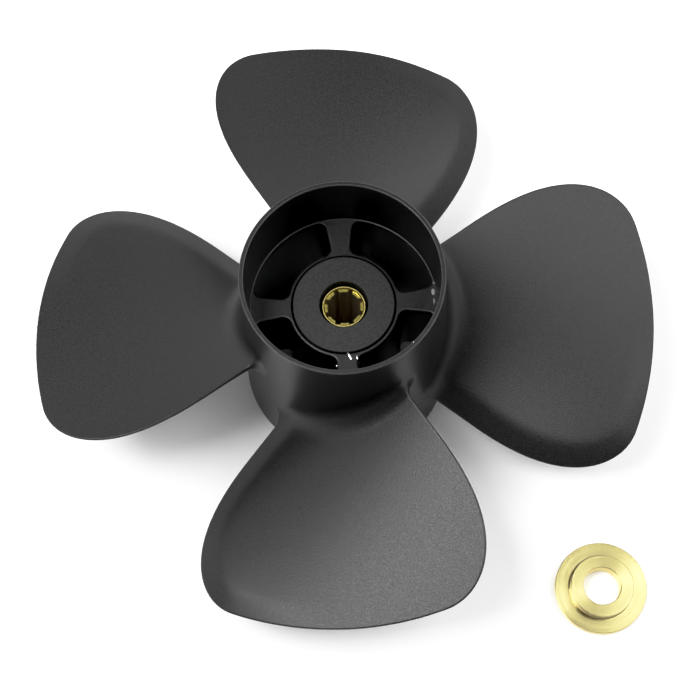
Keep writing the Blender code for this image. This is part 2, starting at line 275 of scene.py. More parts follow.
# Coons patch: the plan of the face between its four border lines
u = shares_along(CHORD, both_ends=True)
v = shares_along(SPAN, both_ends=False)
root_angles = between(leading_angle(0.0), TRAILING_ANGLE, u)
root_heights = FACE_HEIGHT + LEAD * (root_angles - math.pi / 2)
root_radii = barrel_radius(root_heights) + ROOT_FILLET
root_angles = between(leading_angle(root_radii), trailing_angle(root_radii), u)
root_line = polar(root_radii, root_angles)
leading_edge = edge_line(leading_angle, LEADING_CORNER_FROM, root_radii[0], 0.0, CORNER_MIDDLE)
trailing_edge = edge_line(trailing_angle, TRAILING_CORNER_FROM, root_radii[-1], 0.0, CORNER_MIDDLE)
leading_line, trailing_line = resampled(leading_edge, v), resampled(trailing_edge, v)
tip_line = resampled(np.concatenate([
    edge_line(leading_angle, LEADING_CORNER_FROM, 0.0, CORNER_MIDDLE, math.pi / 2)[:-1],
    polar(TIP_RADIUS, np.linspace(leading_angle(TIP_RADIUS), trailing_angle(TIP_RADIUS), EDGE_STEPS)),
    edge_line(trailing_angle, TRAILING_CORNER_FROM, 0.0, CORNER_MIDDLE, math.pi / 2)[-2::-1],
]), u)
across, out = u[None, :, None], v[:, None, None]
plan = (1 - out) * root_line[None] + out * tip_line[None]
plan = plan + (1 - across) * leading_line[:, None] + across * trailing_line[:, None]
plan -= (1 - across) * (1 - out) * root_line[0] + across * (1 - out) * root_line[-1]
plan -= (1 - across) * out * tip_line[0] + across * out * tip_line[-1]
plan_radius = np.minimum(np.hypot(plan[..., 0], plan[..., 1]), TIP_RADIUS)
plan_angle = np.arctan2(plan[..., 1], plan[..., 0])


def in_space(radius, angle, height):
    """Points from radius, angle and height."""
    return np.stack([radius * np.cos(angle), radius * np.sin(angle), height], axis=-1)


face_rows = {}
for side in (1, -1):
    turned, height, _ = blade_point(plan_radius, plan_angle, side)
    face_rows[side] = in_space(plan_radius, turned, height)
# Both faces meet in one line round the outline
for index in ((slice(None), 0), (slice(None), -1), (-1, slice(None))):
    face_rows[-1][index] = face_rows[1][index]
quarter.grid(face_rows[1])
quarter.grid(face_rows[-1][:, ::-1])

# The root fillet: closed loops round the blade's section, which flare out until they lie on the barrel
loop_share = np.concatenate([u, u[-2:0:-1]])
on_aft_face = np.arange(len(loop_share)) < len(u)
fillet_rows = []
for row in range(FILLET_ROWS + 1):
    turn = math.pi / 2 * row / FILLET_ROWS
    away = ROOT_FILLET * (1.0 - math.cos(turn))
    angle = between(leading_angle(0.0), TRAILING_ANGLE, loop_share)
    height = FACE_HEIGHT + LEAD * (angle - math.pi / 2)
    for _ in range(FLARE_ROUNDS):
        radius = barrel_radius(height) + away
        base = between(leading_angle(radius), trailing_angle(radius), loop_share)
        above, above_height, arch = blade_point(radius, base, 1)
        below, below_height, _ = blade_point(radius, base, -1)
        angle = np.where(on_aft_face, above, below)
        height = np.where(on_aft_face, above_height, below_height)
        ahead = np.roll(radius * angle, -1) - np.roll(radius * angle, 1)
        rise = np.roll(height, -1) - np.roll(height, 1)
        size = between(EDGE_FILLET, ROOT_FILLET, arch)
        reach = np.clip(size - away, 0.0, None)
        flare = size - np.sqrt(size * size - reach * reach)
        length = np.hypot(ahead, rise)
        angle = angle - flare * rise / length / radius
        height = height + flare * ahead / length
    fillet_rows.append(in_space(barrel_radius(height) + away, angle, height))
    if row == 0:
        footprint = np.stack([angle, height], axis=-1)
fillet_rows[-1] = np.concatenate([face_rows[1][0], face_rows[-1][0, -2:0:-1]])
quarter.grid(fillet_rows, closed=True)

# The barrel, the webs and the inner hub.
# The die-cast exhaust barrel is a plain tapered tube with rounded ends.  Its open aft mouth is a little wider
# than the passage, which leaves a narrow ledge level with the webs; four cast webs hold the inner hub.
BARREL_ROUNDING = 0.8 * MM
RIM_ROUNDING = 0.4 * MM
RIM_FLAT_INSET = 1.2 * RIM_ROUNDING    # where the rim's flat top starts
RIM_BORE_RADIUS = 35.2 * MM
MOUTH_FLOOR_RADIUS = 34.9 * MM
LEDGE_FILLET = 0.3 * MM
PASSAGE_TOP_RADIUS = 34.15 * MM
PASSAGE_FRONT_RADIUS = 36.4 * MM
WEB_PLANE = 64.1 * MM                  # height of the level face
WEB_FOOT = 30.0 * MM
WEB_HALF_ANGLE = math.radians(9.2)
WEB_ANGLE = math.radians(93.3)
HUB_CORNER = 3.2 * MM                  # the passages' corners at the hub
WALL_CORNER = 2.6 * MM                 # and at the barrel's wall
WINDOW_ROUNDING = 0.8 * MM
FLAT_MARGIN = 0.9 * MM                 # where the level face turns flat beside a passage
WALL_SIDE_SHARE = 0.4                  # how much of the windows' rounding is left along the barrel's wall
HUB_END_ROUNDING = 0.3 * MM
HUB_TOP_RADIUS = 20.8 * MM
HUB_FRONT_RADIUS = 22.0 * MM
HUB_FRONT = 3.0 * MM
HUB_BORE_RADIUS = 19.1 * MM
HUB_CHAMFER = 0.6 * MM
HUB_CHAMFER_DEPTH = 1.2 * MM
CHAMFER_BREAK = 0.1                    # share of the chamfer that is broken at its top edge
CHAMFER_SUPPORT = 1.0 * MM             # a row that keeps the bore straight below the chamfer
HUB_FLAT_FROM = HUB_BORE_RADIUS + HUB_CHAMFER + 0.15 * MM
WASHER_SEAT_RADIUS = 18.2 * MM
WASHER_SEAT_DEPTH = 6.5 * MM
BUSHING_STOP_RADIUS = 13.2 * MM
BUSHING_STOP_THICKNESS = 3.0 * MM
QUARTER = math.tau / BLADES
ARC_STEPS = 20
ACROSS_STEPS = 14
CORNER_STEPS = 7
SIDE_STEPS = 5
ROUNDING_STEPS = 5
WALL_STEPS = 12
PASSAGE_STEPS = 9
HUB_STEPS = 8
HUB_END_STEPS = 3
MOUTH_ROWS = np.linspace(0.08, 0.94, 10)      # shares of the way up the mouth


def hub_side(height):
    """Outer radius of the hub."""
    return between(HUB_TOP_RADIUS, HUB_FRONT_RADIUS, (WEB_PLANE - height) / (WEB_PLANE - HUB_FRONT))


def passage_side(height):
    """Radius of the barrel's inner wall."""
    return between(PASSAGE_TOP_RADIUS, PASSAGE_FRONT_RADIUS, (WEB_PLANE - height) / WEB_PLANE)


def turned_by(points, angle):
    """Flat points turned about the shaft's axis."""
    cosine, sine = math.cos(angle), math.sin(angle)
    return np.array([(x * cosine - y * sine, x * sine + y * cosine) for x, y in points])


def half_window(height, margin):
    """The half of a passage's outline on the low-angle side of the web, as (x, y), with the web along +X.

    It runs along the hub to the web, out along the web's side and back along the barrel's wall.
    """
    inner, outer = hub_side(height), passage_side(height)
    first, last = inner + HUB_CORNER, outer - WALL_CORNER
    turn_first, turn_last = math.asin(HUB_CORNER / first), math.asin(WALL_CORNER / last)
    along_first, along_last = first * math.cos(turn_first), last * math.cos(turn_last)
    start = WEB_HALF_ANGLE - QUARTER / 2
    points = [((inner - margin) * math.cos(a), (inner - margin) * math.sin(a))
              for a in np.linspace(start, -turn_first, ARC_STEPS)]
    reach = HUB_CORNER + margin
    points += [(along_first + reach * math.cos(a), -HUB_CORNER + reach * math.sin(a))
               for a in np.linspace(math.pi - turn_first, math.pi / 2, CORNER_STEPS)[1:]]
    points += [(x, margin) for x in np.linspace(along_first, along_last, SIDE_STEPS)[1:-1]]
    wall_margin = margin * WALL_SIDE_SHARE
    for share in np.linspace(0.0, 1.0, CORNER_STEPS)[:-1]:
        a = between(math.pi / 2, -turn_last, share)
        reach = WALL_CORNER + between(margin, wall_margin, share)
        points.append((along_last + reach * math.cos(a), -WALL_CORNER + reach * math.sin(a)))
    points += [((outer + wall_margin) * math.cos(a), (outer + wall_margin) * math.sin(a))
               for a in np.linspace(-turn_last, start, ARC_STEPS)]
    return turned_by(points, -WEB_HALF_ANGLE)


def both_halves(height, margin):
    """The half windows on both sides of the web, each a path with the open passage on the same hand."""
    low = half_window(height, margin)
    high = (low * (1.0, -1.0))[::-1]
    return turned_by(low, WEB_ANGLE), turned_by(high, WEB_ANGLE)


def stations(turn):
    """Angles round a quarter, from one passage's middle to the next, with the web's corners at +-turn."""
    window = np.linspace(-QUARTER / 2, -turn, ARC_STEPS)
    web = np.linspace(-turn, turn, ACROSS_STEPS)
    return WEB_ANGLE + np.concatenate([window, web[1:-1], -window[::-1]])


outer_stations = stations(WEB_HALF_ANGLE + math.asin(WALL_CORNER / (passage_side(WEB_FOOT) - WALL_CORNER)))
inner_stations = stations(WEB_HALF_ANGLE + math.asin(HUB_CORNER / (hub_side(WEB_FOOT) + HUB_CORNER)))


def turned_strip(shell, profile, angles):
    """A turned surface: the profile runs down its outer side, or up its inner side."""
    shell.grid([in_space(radius, angles, np.full(len(angles), height)) for radius, height in profile])


def arc(centre, radius, first, last, steps=5):
    """Points of a rounding in a profile, between two angles in degrees."""
    turns = np.radians(np.linspace(first, last, steps + 1))
    return [(centre[0] + radius * math.cos(turn), centre[1] + radius * math.sin(turn)) for turn in turns]


def raised(path, height):
    """A flat path at its height."""
    return np.column_stack([path, np.full(len(path), height)])


# Window walls, from the flat face over a small rounding and down to the web's foot
window_rows = [(FLAT_MARGIN, WEB_PLANE)]
for turn in np.radians(np.linspace(90.0, 0.0, ROUNDING_STEPS)):
    margin = WINDOW_ROUNDING * (1.0 - math.cos(turn))
    window_rows.append((margin, WEB_PLANE - WINDOW_ROUNDING * (1.0 - math.sin(turn))))
for height in np.linspace(WEB_PLANE - WINDOW_ROUNDING, WEB_FOOT, WALL_STEPS)[1:]:
    window_rows.append((0.0, height))
for half in (0, 1):
    quarter.grid([raised(both_halves(height, margin)[half], height) for margin, height in window_rows])


VALID_FACES = 4                        # asks for the extra edges that make every face a valid one
SAME_POINT = 1e-5                      # points this many millimetres apart are one


def filled(outline, holes=(), inner_points=()):
    """Triangles inside a closed outline, counter-clockwise, as the drawn points and index triples."""
    points, edges = [], []
    for loop in (outline, *holes):
        start = len(points)
        points += [Vector((x / MM, y / MM)) for x, y in loop]
        edges += [(start + i, start + (i + 1) % len(loop)) for i in range(len(loop))]
    points += [Vector((x / MM, y / MM)) for x, y in inner_points]
    flat, _, triangles, *_ = delaunay_2d_cdt(points, edges, [], VALID_FACES, SAME_POINT)
    flat = np.array([tuple(point) for point in flat]) * MM
    made = []
    for a, b, c in triangles:
        first, second = flat[b] - flat[a], flat[c] - flat[a]
        made.append((a, b, c) if first[0] * second[1] - first[1] * second[0] > 0 else (a, c, b))
    return flat, made


# The level face of hub ring, web and ledge
low, high = both_halves(WEB_PLANE, FLAT_MARGIN)
ledge_edge = MOUTH_FLOOR_RADIUS - LEDGE_FILLET
ring_inner = polar(HUB_FLAT_FROM, inner_stations)
ring_outer = polar(ledge_edge, outer_stations)
level_face = np.concatenate([ring_inner, high[::-1], ring_outer[::-1], low[::-1]])
quarter.triangles(*filled(level_face), lambda x, y: (x, y, WEB_PLANE))

# The web's foot, inside the passage
low, high = both_halves(WEB_FOOT, 0.0)
round_corners = slice(ARC_STEPS - 1, -(ARC_STEPS - 1))
over_web = slice(ARC_STEPS - 1, ARC_STEPS - 1 + ACROSS_STEPS)
foot = np.concatenate([
    polar(hub_side(WEB_FOOT), inner_stations[over_web]),
    high[round_corners][::-1][1:-1],
    polar(passage_side(WEB_FOOT), outer_stations[over_web])[::-1],
    low[round_corners][::-1][1:-1],
])
flat, made = filled(foot)
quarter.triangles(flat, [triangle[::-1] for triangle in made], lambda x, y: (x, y, WEB_FOOT))

# The mouth and the rim
rim_top = BARREL_LENGTH - RIM_ROUNDING
rim_outer = barrel_radius(rim_top)
mouth_profile = [(ledge_edge, WEB_PLANE)]
mouth_profile += arc((ledge_edge, WEB_PLANE + LEDGE_FILLET), LEDGE_FILLET, -90.0, 0.0)[1:]
mouth_profile += [(between(MOUTH_FLOOR_RADIUS, RIM_BORE_RADIUS, share), between(WEB_PLANE, rim_top, share))
                  for share in MOUTH_ROWS]
mouth_profile += arc((RIM_BORE_RADIUS + RIM_ROUNDING, rim_top), RIM_ROUNDING, 180.0, 90.0)
mouth_profile.append((RIM_BORE_RADIUS + RIM_FLAT_INSET, BARREL_LENGTH))
mouth_profile.append((rim_outer - RIM_FLAT_INSET, BARREL_LENGTH))
mouth_profile += arc((rim_outer - RIM_ROUNDING, rim_top), RIM_ROUNDING, 90.0, 0.0)
turned_strip(quarter, mouth_profile, outer_stations)

# The front face and the passage up to the webs' foot
outer_centre = (barrel_radius(BARREL_ROUNDING) - BARREL_ROUNDING, BARREL_ROUNDING)
inner_centre = (PASSAGE_FRONT_RADIUS + BARREL_ROUNDING, BARREL_ROUNDING)
passage_heights = np.linspace(BARREL_ROUNDING, WEB_FOOT, PASSAGE_STEPS)[1:]
front_profile = arc(outer_centre, BARREL_ROUNDING, 0.0, -90.0)
front_profile += arc(inner_centre, BARREL_ROUNDING, -90.0, -180.0)
front_profile += [(passage_side(height), height) for height in passage_heights]
turned_strip(quarter, front_profile, outer_stations)

# The hub from the webs' foot down, round its front end and back up its bore
seat_top = HUB_FRONT + WASHER_SEAT_DEPTH
stop_top = seat_top + BUSHING_STOP_THICKNESS
hub_end = HUB_FRONT + HUB_END_ROUNDING
chamfer_foot = WEB_PLANE - HUB_CHAMFER_DEPTH
chamfer_broken = HUB_BORE_RADIUS + (1.0 - CHAMFER_BREAK) * HUB_CHAMFER
hub_profile = [(hub_side(height), height) for height in np.linspace(WEB_FOOT, hub_end, HUB_STEPS)]
end_centre = (HUB_FRONT_RADIUS - HUB_END_ROUNDING, hub_end)
hub_profile += arc(end_centre, HUB_END_ROUNDING, 0.0, -90.0, HUB_END_STEPS)
hub_profile += [
    (WASHER_SEAT_RADIUS + HUB_END_ROUNDING, HUB_FRONT),
    (WASHER_SEAT_RADIUS, hub_end),
    (WASHER_SEAT_RADIUS, seat_top),
    (BUSHING_STOP_RADIUS + HUB_END_ROUNDING, seat_top),
    (BUSHING_STOP_RADIUS, seat_top + HUB_END_ROUNDING),
    (BUSHING_STOP_RADIUS, stop_top),
    (HUB_BORE_RADIUS, stop_top),
    (HUB_BORE_RADIUS, chamfer_foot - CHAMFER_SUPPORT),
    (HUB_BORE_RADIUS, chamfer_foot),
    (chamfer_broken, WEB_PLANE - CHAMFER_BREAK * HUB_CHAMFER_DEPTH),
    (HUB_BORE_RADIUS + HUB_CHAMFER, WEB_PLANE),
    (HUB_FLAT_FROM, WEB_PLANE),
]
turned_strip(quarter, hub_profile, inner_stations)

# The barrel's outer skin, drawn flat as (angle, height) with the blade's footprint left out
SKIN_STEP = 1.7 * MM
SKIN_END_GAP = 0.6 * SKIN_STEP
FOOTPRINT_GAP = 0.7 * SKIN_STEP
SKIN_ROWS = 56
SKIN_SEAM = WEB_ANGLE + math.radians(41.0)    # runs up the barrel between two blades
ARC_LENGTH = FRONT_RADIUS              # a drawn length for each radian
skin_start = int(np.searchsorted(outer_stations, SKIN_SEAM))
skin_angles = np.concatenate([outer_stations[skin_start:-1] - QUARTER, outer_stations[:skin_start + 1]])
skin_heights = np.linspace(BARREL_ROUNDING, rim_top, SKIN_ROWS)


def drawn(angles, heights):
    """Points of the barrel's skin on the flat drawing."""
    return np.column_stack([np.broadcast_to(angles, np.shape(heights)) * ARC_LENGTH, heights])


def inside_loop(points, loop):
    """Which points lie inside a closed loop, by how often it winds round them."""
    winding = np.zeros(len(points), dtype=int)
    ahead = np.roll(loop, -1, axis=0) - loop
    for start, step in zip(loop, ahead):
        aside = step[0] * (points[:, 1] - start[1]) - step[1] * (points[:, 0] - start[0])
        upward = (start[1] <= points[:, 1]) & (start[1] + step[1] > points[:, 1]) & (aside > 0)
        downward = (start[1] > points[:, 1]) & (start[1] + step[1] <= points[:, 1]) & (aside < 0)
        winding += upward.astype(int) - downward.astype(int)
    return winding != 0


skin_outline = np.concatenate([
    drawn(skin_angles, np.full(len(skin_angles), skin_heights[0])),
    drawn(skin_angles[-1], skin_heights[1:-1]),
    drawn(skin_angles[::-1], np.full(len(skin_angles), skin_heights[-1])),
    drawn(skin_angles[0], skin_heights[-2:0:-1]),
])
hole = drawn(footprint[:, 0], footprint[:, 1])
skin_left, skin_right = skin_angles[0] * ARC_LENGTH, skin_angles[-1] * ARC_LENGTH
columns = np.arange(skin_left + SKIN_STEP, skin_right - SKIN_END_GAP, SKIN_STEP)
rows = np.arange(skin_heights[0] + SKIN_STEP, skin_heights[-1] - SKIN_END_GAP, SKIN_STEP)
spread = np.array([(x, y) for x in columns for y in rows])
clear = distance_to_line(spread, np.concatenate([hole, hole[:1]])) > FOOTPRINT_GAP
spread = spread[~inside_loop(spread, hole) & clear]
flat, made = filled(skin_outline, [hole], spread)
quarter.triangles(flat, made, lambda x, y: tuple(in_space(barrel_radius(y), x / ARC_LENGTH, y)))


def in_scene(name, data):
    """A new object of the scene that holds its mesh, light or camera."""
    made = bpy.data.objects.new(name, data)
    bpy.context.scene.collection.objects.link(made)
    return made


def node_group(name, kind, inputs, outputs):
    """A node group with its named sockets, and the node at each of its ends.

    An input is given as its name, kind and default, and an output as its name and kind.
    """
    tree = bpy.data.node_groups.new(name, kind)
    for label, carried, default in inputs:
        socket = tree.interface.new_socket(label, in_out="INPUT", socket_type="NodeSocket" + carried)
        if default is not None:
            socket.default_value = default
    for label, carried in outputs:
        tree.interface.new_socket(label, in_out="OUTPUT", socket_type="NodeSocket" + carried)
    return tree, tree.nodes.new("NodeGroupInput"), tree.nodes.new("NodeGroupOutput")


def feed(tree, value, socket):
    """Gives a socket its value, which is another node's output or a value of its own."""
    if isinstance(value, bpy.types.NodeSocket):
        tree.links.new(value, socket)
    else:
        socket.default_value = value


def combined(tree, operation, *values):
    """The result of a Math node."""
    node = tree.nodes.new("ShaderNodeMath")
    node.operation = operation
    for value, socket in zip(values, node.inputs):
        feed(tree, value, socket)
    return node.outputs[0]


SEAM_GAP = 0.002 * MM                  # points of two sectors that lie this close are one


def around_the_shaft():
    """The node tree that turns one sector round the shaft, joins the seams and gives the piece its finish."""
    tree, given, whole = node_group(
        "Around the shaft", "GeometryNodeTree",
        inputs=(("Sector", "Geometry", None), ("Count", "Int", BLADES), ("Seam", "Float", SEAM_GAP),
                ("Finish", "Material", None)),
        outputs=(("Whole", "Geometry"),))
    add, link = tree.nodes.new, tree.links.new
    places = add("GeometryNodeMeshLine")
    places.inputs["Offset"].default_value = (0.0, 0.0, 0.0)
    index = add("GeometryNodeInputIndex")
    step = combined(tree, "DIVIDE", math.tau, given.outputs["Count"])
    turn = combined(tree, "MULTIPLY", index.outputs["Index"], step)
    rotation = add("FunctionNodeAxisAngleToRotation")
    rotation.inputs["Axis"].default_value = (0.0, 0.0, 1.0)
    copies = add("GeometryNodeInstanceOnPoints")
    real = add("GeometryNodeRealizeInstances")
    seam = add("GeometryNodeMergeByDistance")
    finish = add("GeometryNodeSetMaterial")
    link(given.outputs["Count"], places.inputs["Count"])
    link(turn, rotation.inputs["Angle"])
    link(places.outputs["Mesh"], copies.inputs["Points"])
    link(given.outputs["Sector"], copies.inputs["Instance"])
    link(rotation.outputs["Rotation"], copies.inputs["Rotation"])
    link(copies.outputs["Instances"], real.inputs["Geometry"])
    link(real.outputs["Geometry"], seam.inputs["Geometry"])
    link(given.outputs["Seam"], seam.inputs["Distance"])
    link(seam.outputs["Geometry"], finish.inputs["Geometry"])
    link(given.outputs["Finish"], finish.inputs["Material"])
    link(finish.outputs["Geometry"], whole.inputs["Whole"])
    return tree


shaft_tree = around_the_shaft()


def smoothed(piece, sharp_over):
    """Smooth shading, but for the edges where the surface turns by more than so many degrees."""
    piece.data.shade_smooth()
    piece.data.set_sharp_from_angle(angle=math.radians(sharp_over))
    return piece


def repeated(name, sector, count, finish, sharp_over=50.0):
    """A piece made of a sector's mesh, turned round the shaft as often as count says."""
    piece = in_scene(name, sector)
    modifier = piece.modifiers.new("Around the shaft", "NODES")
    modifier.node_group = shaft_tree
    inputs = [item for item in shaft_tree.interface.items_tree if item.in_out == "INPUT"]
    sockets = {item.name: item.identifier for item in inputs}
    modifier[sockets["Count"]] = count
    modifier[sockets["Finish"]] = finish.material
    whole = piece.evaluated_get(bpy.context.evaluated_depsgraph_get())
    mesh = bpy.data.meshes.new_from_object(whole)
    piece.modifiers.remove(modifier)
    piece.data = mesh
    return smoothed(piece, sharp_over)


def mapped(tree, value, span, result=(0.0, 1.0), smooth=False):
    """A value carried from one span to another, and held beyond its ends."""
    node = tree.nodes.new("ShaderNodeMapRange")
    node.interpolation_type = "SMOOTHSTEP" if smooth else "LINEAR"
    for name, bound in zip(("From Min", "From Max", "To Min", "To Max"), (*span, *result)):
        node.inputs[name].default_value = bound
    tree.links.new(value, node.inputs["Value"])
    return node.outputs["Result"]


def ramped(tree, value, places, colours):
    """A colour that runs through the given colours, each at its place between 0 and 1."""
    node = tree.nodes.new("ShaderNodeValToRGB")
    stops = node.color_ramp.elements
    while len(stops) < len(colours):
        stops.new(0.5)
    for stop, place, colour in zip(stops, places, colours):
        stop.position = place
        stop.color = (*colour, 1.0)
    tree.links.new(value, node.inputs["Fac"])
    return node.outputs["Color"]


def blended(tree, share, first, second, kind):
    """A colour or value between two others, by a share."""
    mix = tree.nodes.new("ShaderNodeMix")
    mix.data_type = kind
    ending = {"RGBA": "_Color", "FLOAT": "_Float"}[kind]
    sockets = {socket.identifier: socket for socket in (*mix.inputs, *mix.outputs)}
    for name, value in (("Factor_Float", share), ("A" + ending, first), ("B" + ending, second)):
        feed(tree, value, sockets[name])
    return sockets["Result" + ending]


def fine_grain():
    """The node group for the fine, even roughness of paint, moulded rubber and bare metal."""
    tree, given, out = node_group(
        "Fine grain", "ShaderNodeTree",
        inputs=(("Place", "Vector", None), ("Grain size", "Float", 0.6 * MM),
                ("Wave size", "Float", 6.0 * MM), ("Wave share", "Float", 0.3)),
        outputs=(("Height", "Float"), ("Speckle", "Float")))
    noises = []
    for size in ("Grain size", "Wave size"):
        noise = tree.nodes.new("ShaderNodeTexNoise")
        noise.inputs["Detail"].default_value = 2.0
        tree.links.new(given.outputs["Place"], noise.inputs["Vector"])
        tree.links.new(combined(tree, "DIVIDE", 1.0, given.outputs[size]), noise.inputs["Scale"])
        noises.append(noise.outputs["Fac"])
    height = blended(tree, given.outputs["Wave share"], *noises, "FLOAT")
    tree.links.new(height, out.inputs["Height"])
    tree.links.new(noises[0], out.inputs["Speckle"])
    return tree


grain_tree = fine_grain()


class Finish:
    """A material with its Principled BSDF, and a bump that waits for the height of its grain or rings.

    Its plain colour and roughness stand wherever no node gives another.
    """

    def __init__(self, name, colour, roughness, metallic, bump_strength, bump_depth):
        self.material = bpy.data.materials.new(name)
        self.material.use_nodes = True
        self.tree = self.material.node_tree
        self.shader = self.tree.nodes["Principled BSDF"]
        self.place = self.tree.nodes.new("ShaderNodeTexCoord").outputs["Object"]
        bump = self.tree.nodes.new("ShaderNodeBump")
        bump.inputs["Strength"].default_value = bump_strength
        bump.inputs["Distance"].default_value = bump_depth
        self.height = bump.inputs["Height"]
        self.give("Base Color", (*colour, 1.0))
        self.give("Roughness", roughness)
        self.give("Metallic", metallic)
        self.give("Normal", bump.outputs["Normal"])

    def give(self, name, value):
        """Gives one of the shader's sockets its value."""
        feed(self.tree, value, self.shader.inputs[name])

    def grained(self, size, wave, wave_share):
        """Puts the fine grain into the bump, and hands back its speckle."""
        grain = self.tree.nodes.new("ShaderNodeGroup")
        grain.node_tree = grain_tree
        grain.inputs["Grain size"].default_value = size
        grain.inputs["Wave size"].default_value = wave
        grain.inputs["Wave share"].default_value = wave_share
        self.tree.links.new(self.place, grain.inputs["Place"])
        self.tree.links.new(grain.outputs["Height"], self.height)
        return grain.outputs["Speckle"]


PAINT_COLOUR = (0.0005, 0.0005, 0.0005)
PAINT_SPECK = (0.014, 0.014, 0.014)
PAINT_ROUGHNESS = (0.30, 0.50)
PAINT_SHEEN = 0.39
SPECKLE_SPAN = (0.25, 0.75)            # where nearly all of a noise's values lie
SPECK_STOPS = (0.3, 0.75)
# The rim's rounded edges: a lighter grey painted in as a highlight, with a lower roughness
RIM_HIGHLIGHT_COLOUR = (0.045, 0.045, 0.046)
RIM_EDGE_ROUGHNESS = 0.24
RIM_HIGHLIGHT_WIDTH = 0.35 * MM                 # how far the painted highlight reaches in from each edge of the rim
RIM_HIGHLIGHT_FADE = 0.3                        # share of that width that is wholly lightened
paint = Finish("Satin black paint", PAINT_COLOUR, roughness=0.42, metallic=0.0,
               bump_strength=0.75, bump_depth=0.1 * MM)
paint_speckle = paint.grained(size=0.42 * MM, wave=9.0 * MM, wave_share=0.2)


def radius_and_height(tree, place):
    """How far a place is from the Z axis, and how high it lies."""
    apart = tree.nodes.new("ShaderNodeSeparateXYZ")
    flat = tree.nodes.new("ShaderNodeCombineXYZ")
    length = tree.nodes.new("ShaderNodeVectorMath")
    length.operation = "LENGTH"
    tree.links.new(place, apart.inputs["Vector"])
    for axis in ("X", "Y"):
        tree.links.new(apart.outputs[axis], flat.inputs[axis])
    tree.links.new(flat.outputs["Vector"], length.inputs[0])
    return length.outputs["Value"], apart.outputs["Z"]


def rim_edge_highlight(tree, place):
    """1 along both rounded edges of the barrel's rim: a painted highlight, lighter and glossier."""
    radius, height = radius_and_height(tree, place)
    off_middle = combined(tree, "SUBTRACT", radius, (RIM_BORE_RADIUS + rim_outer) / 2)
    aside = combined(tree, "ABSOLUTE", off_middle)
    half_width = (rim_outer - RIM_BORE_RADIUS) / 2
    edge_span = (half_width - RIM_HIGHLIGHT_WIDTH, half_width - RIM_HIGHLIGHT_FADE * RIM_HIGHLIGHT_WIDTH)
    at_edge = mapped(tree, aside, edge_span, smooth=True)
    at_top = mapped(tree, height, (rim_top - RIM_ROUNDING, rim_top), smooth=True)
    return combined(tree, "MULTIPLY", at_edge, at_top)


rim_highlight = rim_edge_highlight(paint.tree, paint.place)
paint_tint = ramped(paint.tree, paint_speckle, SPECK_STOPS, (PAINT_COLOUR, PAINT_SPECK))
paint_satin = mapped(paint.tree, paint_speckle, SPECKLE_SPAN, PAINT_ROUGHNESS)
# The rim's rounded edges take a lighter colour, a painted highlight, and a lower roughness.
paint.give("Base Color", blended(paint.tree, rim_highlight, paint_tint, (*RIM_HIGHLIGHT_COLOUR, 1.0), "RGBA"))
paint.give("Roughness", blended(paint.tree, rim_highlight, paint_satin, RIM_EDGE_ROUGHNESS, "FLOAT"))
paint.give("Specular IOR Level", PAINT_SHEEN)

casting = repeated("painted_casting", quarter.mesh("painted_casting_quarter"), BLADES, paint)
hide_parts("propeller_casting")
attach(casting, "root")

# Chips in the paint.
# Knocks have chipped the paint off the webs' ends and the rim, and the bright aluminium of the casting shows.
# Each chip is a small flat patch, sunk into the surface with only a hair's breadth of it standing out.
ALUMINIUM = (0.80, 0.80, 0.81)
METAL_ROUGHNESS = (0.14, 0.24)
SUNK_SHARE = 0.6                       # how much of a chip's height lies below the surface
POLE_TILT = 0.02                       # how wide the flat caps of a chip are, in radians
# On the level face: place, length, width and height in millimetres, and turn in degrees
CHIPS = [
    (33.46, 8.4, 1.3, 0.5, 0.015, 104.0),
    (33.2, 4.8, 3.4, 1.6, 0.02, 95.0),
    (33.5, 1.2, 2.8, 0.9, 0.02, 90.0),
    (2.2, -20.3, 3.6, 0.9, 0.2, -60.0),
    (4.9, -20.8, 1.7, 0.7, 0.2, -80.0),
    (-2.5, -24.0, 0.8, 0.7, 0.2, 0.0),
]
# On the rim's inner edge: angle, place in and down from the edge, and length, width and height
RIM_CHIP_ANGLE = math.radians(-45.1)
RIM_CHIP_IN = 0.25 * MM
RIM_CHIP_DOWN = 0.15 * MM
RIM_CHIP_SIZE = (0.8 * MM, 0.7 * MM, 0.3 * MM)


def chip(shell, place, length, width, height, turn, rings=8, around=20):
    """A closed egg-shaped patch that stands a hair's breadth out of the surface."""
    cosine, sine = math.cos(turn), math.sin(turn)
    across = np.arange(around) * math.tau / around
    rows = []
    for tilt in np.linspace(POLE_TILT, math.pi - POLE_TILT, rings + 1):
        x = length / 2 * math.sin(tilt) * np.cos(across)
        y = width / 2 * math.sin(tilt) * np.sin(across)
        z = np.full(around, height * (math.cos(tilt) - SUNK_SHARE))
        rows.append(np.stack([x * cosine - y * sine, x * sine + y * cosine, z], axis=-1) + place)
    start = len(shell.points)
    shell.grid(rows, closed=True)
    shell.faces.append(tuple(range(start, start + around)))
    last = start + rings * around
    shell.faces.append(tuple(range(last + around - 1, last - 1, -1)))


metal = Finish("Bare aluminium", ALUMINIUM, roughness=0.4, metallic=1.0,
               bump_strength=0.2, bump_depth=0.05 * MM)
metal_speckle = metal.grained(size=0.3 * MM, wave=2.0 * MM, wave_share=0.3)
metal.give("Roughness", mapped(metal.tree, metal_speckle, SPECKLE_SPAN, METAL_ROUGHNESS))

chip_shell = Shell()
for x, y, length, width, height, turn in CHIPS:
    chip(chip_shell, (x * MM, y * MM, WEB_PLANE), length * MM, width * MM, height * MM, math.radians(turn))
rim_place = in_space(RIM_BORE_RADIUS + RIM_CHIP_IN, RIM_CHIP_ANGLE, BARREL_LENGTH - RIM_CHIP_DOWN)
chip(chip_shell, rim_place, *RIM_CHIP_SIZE, turn=0.0)
chips = in_scene("metal_chips", chip_shell.mesh("metal_chips"))
chips.data.materials.append(metal.material)
smoothed(chips, sharp_over=60.0)
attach(chips, "root")

